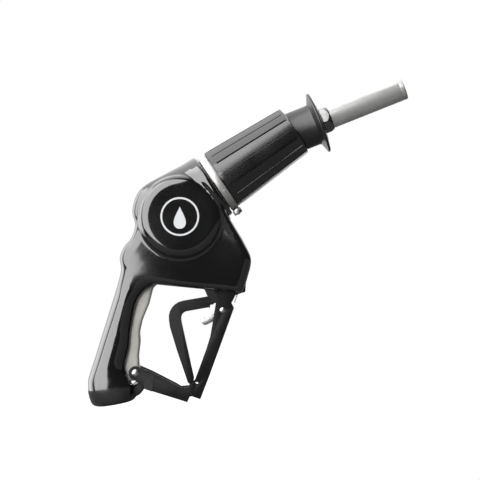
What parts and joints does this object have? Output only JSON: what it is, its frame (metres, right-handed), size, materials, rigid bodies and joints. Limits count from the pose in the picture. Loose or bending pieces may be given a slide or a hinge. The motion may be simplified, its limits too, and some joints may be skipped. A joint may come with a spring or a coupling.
{
  "type": "fuel nozzle",
  "caption": "Automatic fuel nozzle with a glossy scuff cover, ribbed vapour sleeve, sliding face seal, straight spout, squeeze lever in a sheet-steel guard and hold-open latch.",
  "frame": {"origin": "centre of the hose inlet's end face, on the inlet's axis", "axes": "+Z along the inlet's axis into the handle, +X to the spout's side, Y normal to the plane that halves the nozzle"},
  "size_m": [0.3655, 0.0698, 0.2818],
  "materials": {
    "gloss_vinyl": "glossy black moulded vinyl",
    "cast_aluminium": "satin die casting",
    "moulded_rubber": "matte black moulded rubber",
    "stainless_steel": "bright stainless",
    "bright_plating": "bright plated",
    "spout_aluminium": "fine brushed along the tube, lightly worn",
    "black_steel": "black coated sheet steel",
    "valve_brass": "machined",
    "spring_steel": "drawn wire",
    "seal_rubber": "nitrile",
    "acetal": "moulded acetal"
  },
  "bodies": {
    "housing": {"body_casting": "cast_aluminium", "scuff_cover": "gloss_vinyl", "clamp_band": "stainless_steel", "clamp_screw": "stainless_steel", "vapour_sleeve": "moulded_rubber", "inlet_gasket": "seal_rubber", "vapour_valve_cap": "cast_aluminium", "vapour_valve_diaphragm": "seal_rubber", "cap_screw_1": "stainless_steel", "cap_screw_2": "stainless_steel", "cap_screw_3": "stainless_steel", "cap_screw_4": "stainless_steel", "cap_screw_5": "stainless_steel", "cap_screw_6": "stainless_steel", "main_valve_seat": "valve_brass", "main_valve_cap": "valve_brass", "main_valve_spring": "spring_steel", "stem_packing": "seal_rubber", "packing_nut": "valve_brass", "plunger_spring": "spring_steel", "shutoff_cap": "cast_aluminium", "shutoff_diaphragm": "seal_rubber", "shutoff_spring": "spring_steel", "plunger_clip": "stainless_steel", "lever_guard": "black_steel", "guard_rivet_1": "stainless_steel", "guard_rivet_2": "stainless_steel", "guard_lower_rivet": "bright_plating", "latch_rivet": "stainless_steel", "latch_spring": "spring_steel", "spout_adapter": "valve_brass", "adapter_gasket": "seal_rubber", "check_valve_spring": "spring_steel", "spout_tube": "spout_aluminium", "spout_ferrule": "stainless_steel", "vent_tube": "stainless_steel", "spout_nut": "bright_plating", "face_seal_spring": "spring_steel"},
    "plunger": {"trip_plunger": "stainless_steel", "lever_pin": "stainless_steel"},
    "lever": {"operating_lever": "black_steel"},
    "latch": {"hold_open_latch": "stainless_steel"},
    "main_valve": {"main_valve_stem": "stainless_steel", "main_valve_poppet": "acetal", "main_valve_seal": "seal_rubber"},
    "shutoff_pin": {"shutoff_latch_pin": "stainless_steel"},
    "vapour_plate": {"vapour_valve_plate": "acetal"},
    "check_poppet": {"check_valve_poppet": "acetal"},
    "face_seal": {"face_seal_collar": "moulded_rubber"}
  },
  "joints": [
    {"name": "plunger_trip", "type": "slide", "parent": "housing", "child": "plunger", "axis": [0.0506, 0, 0.9987], "range_m": [-0.003, 0], "stiffness_N_per_m": 2500, "springref_m": 0.004, "deforming": ["plunger_spring"]},
    {"name": "lever_squeeze", "type": "hinge", "parent": "plunger", "child": "lever", "pos_m": [0.1306, 0, 0.084], "axis": [0, 1, 0], "range_deg": [0, 16], "stiffness_Nm_per_rad": 2, "springref_deg": -6.88},
    {"name": "main_valve_lift", "type": "slide", "parent": "housing", "child": "main_valve", "axis": [-0.1857, 0, 0.9826], "range_m": [0, 0.0055], "deforming": ["main_valve_spring"]},
    {"name": "latch_swing", "type": "hinge", "parent": "housing", "child": "latch", "pos_m": [0.1226, 0, 0.0735], "axis": [0, 1, 0], "range_deg": [0, 15], "stiffness_Nm_per_rad": 0.05, "springref_deg": -11.46, "deforming": ["latch_spring"]},
    {"name": "shutoff_release", "type": "slide", "parent": "housing", "child": "shutoff_pin", "axis": [0, -1, 0], "range_m": [0, 0.0031], "deforming": ["shutoff_spring", "shutoff_diaphragm"]},
    {"name": "vapour_valve_open", "type": "slide", "parent": "housing", "child": "vapour_plate", "axis": [0, 1, 0], "range_m": [0, 0.0013], "stiffness_N_per_m": 400, "springref_m": -0.001, "deforming": ["vapour_valve_diaphragm"]},
    {"name": "check_valve_open", "type": "slide", "parent": "housing", "child": "check_poppet", "axis": [0.9135, 0, 0.4067], "range_m": [0, 0.004], "stiffness_N_per_m": 300, "springref_m": -0.004, "deforming": ["check_valve_spring"]},
    {"name": "face_seal_slide", "type": "slide", "parent": "housing", "child": "face_seal", "axis": [-0.9792, 0, -0.2028], "range_m": [0, 0.01], "stiffness_N_per_m": 600, "springref_m": -0.008, "deforming": ["face_seal_spring"]}
  ],
  "couplings": [
    {"joint": "main_valve_lift", "follows": "lever_squeeze", "m_per_rad": 0.0194},
    {"joint": "shutoff_release", "follows": "plunger_trip", "ratio": -1}
  ]
}
